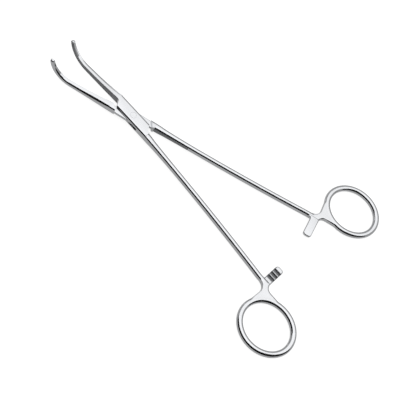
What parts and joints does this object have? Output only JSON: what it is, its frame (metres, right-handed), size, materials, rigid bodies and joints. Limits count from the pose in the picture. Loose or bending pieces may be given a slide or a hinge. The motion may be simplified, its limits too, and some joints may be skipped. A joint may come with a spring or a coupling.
{
  "type": "angled hemostatic forceps",
  "caption": "Angled hemostatic forceps: slim bowed shanks, finger rings, ratchet bars and a box lock with a hinge pin; serrated jaws that bend up steeply at their tips.",
  "frame": {"origin": "on the hinge axis, in the underside of the box lock", "axes": "+Y along the forceps to the jaws, half way between the two arms, +Z along the hinge axis, to the side that the jaws bend to, +X from the tongue arm's jaw to the box arm's jaw"},
  "size_m": [0.1118, 0.1832, 0.0116],
  "materials": {
    "arm_steel": "polished",
    "pin_steel": "satin"
  },
  "bodies": {
    "box_side": {"box_arm": "arm_steel", "joint_pin": "pin_steel"},
    "tongue_side": {"tongue_arm": "arm_steel"}
  },
  "joints": [
    {"name": "box_lock", "type": "hinge", "parent": "box_side", "child": "tongue_side", "pos_m": [0, 0, 0.0023], "axis": [0, 0, 1], "range_deg": [-17.7, 35]}
  ]
}
